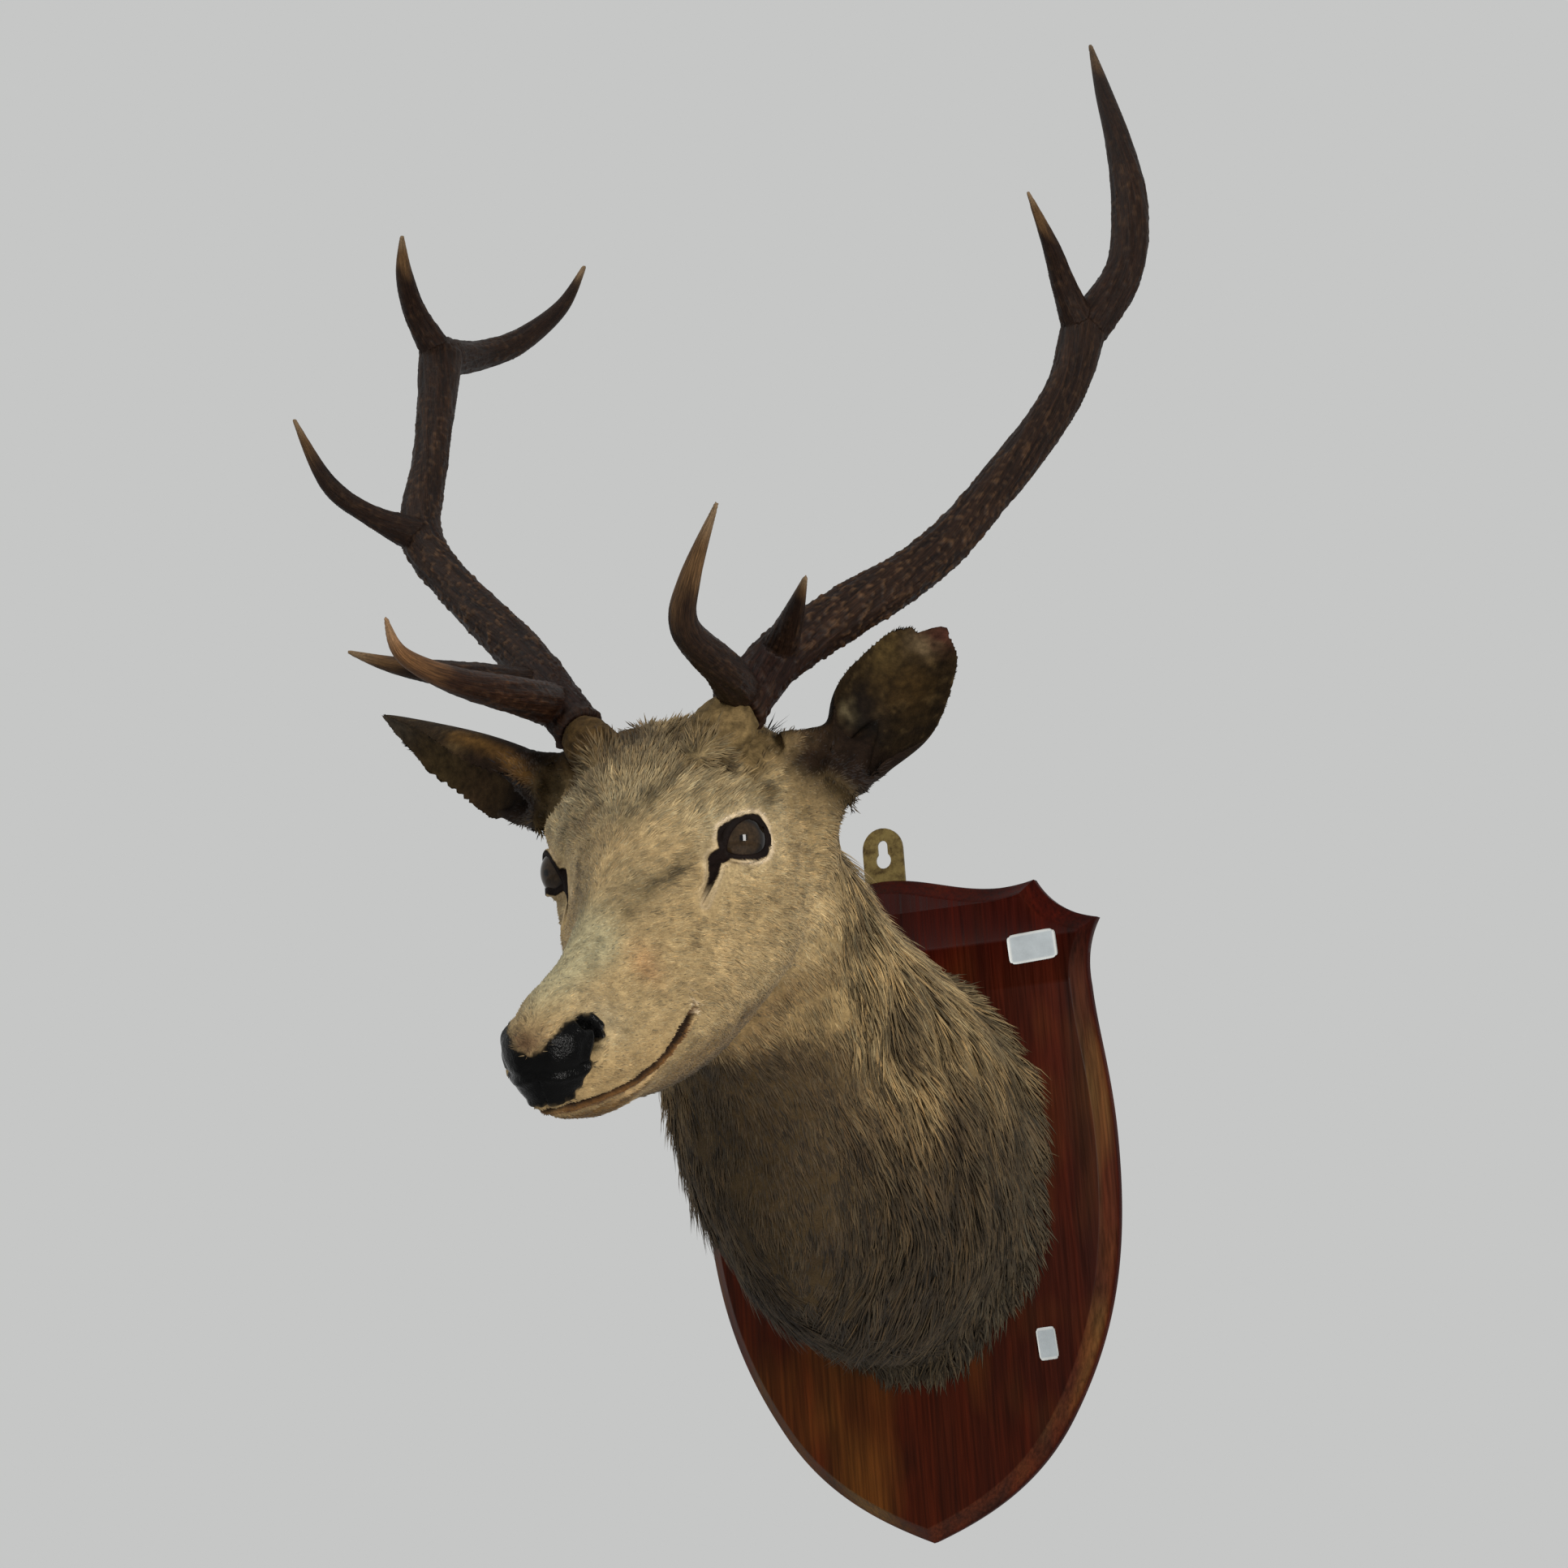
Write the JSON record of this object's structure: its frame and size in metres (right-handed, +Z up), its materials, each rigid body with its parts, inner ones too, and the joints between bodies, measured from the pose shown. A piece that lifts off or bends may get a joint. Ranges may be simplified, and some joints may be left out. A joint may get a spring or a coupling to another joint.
{
  "type": "mounted deer head",
  "caption": "Life-size stag shoulder mount: head, neck and branched antlers on a shield board with a keyhole hanging plate.",
  "frame": {"origin": "centre of the board's flat back face, which lies against the wall", "axes": "+Y into the wall, +Z up, +X to the viewer's right as they face the mount; the head looks to -Y"},
  "size_m": [0.5536, 0.6718, 1.1037],
  "materials": {
    "face_coat": "short sandy fur",
    "neck_coat": "long coarse fur",
    "ear_skin": "thin dark fur",
    "nose_skin": "glossy, grained",
    "glass_eye": "polished",
    "antler_bone": "grooved bone, pale tips",
    "varnished_wood": "varnished",
    "brass_plate": "dull",
    "brass_screw": "dull",
    "paper_label": "paper"
  },
  "bodies": {
    "root": {"head": "face_coat", "lower_jaw": "face_coat", "nose_pad": "nose_skin", "eye_left": "glass_eye", "eye_right": "glass_eye", "neck": "neck_coat", "ear_left": "ear_skin", "ear_right": "ear_skin", "antler_left_beam": "antler_bone", "antler_left_top_rear": "antler_bone", "antler_left_top_front": "antler_bone", "antler_left_brow": "antler_bone", "antler_left_bay": "antler_bone", "antler_right_beam": "antler_bone", "antler_right_top_rear": "antler_bone", "antler_right_top_front": "antler_bone", "antler_right_brow": "antler_bone", "antler_right_bay": "antler_bone", "antler_right_trez": "antler_bone", "board": "varnished_wood", "hanger_plate": "brass_plate", "plate_screw_1": "brass_screw", "plate_screw_2": "brass_screw", "label_upper": "paper_label", "label_lower": "paper_label"}
  },
  "joints": []
}
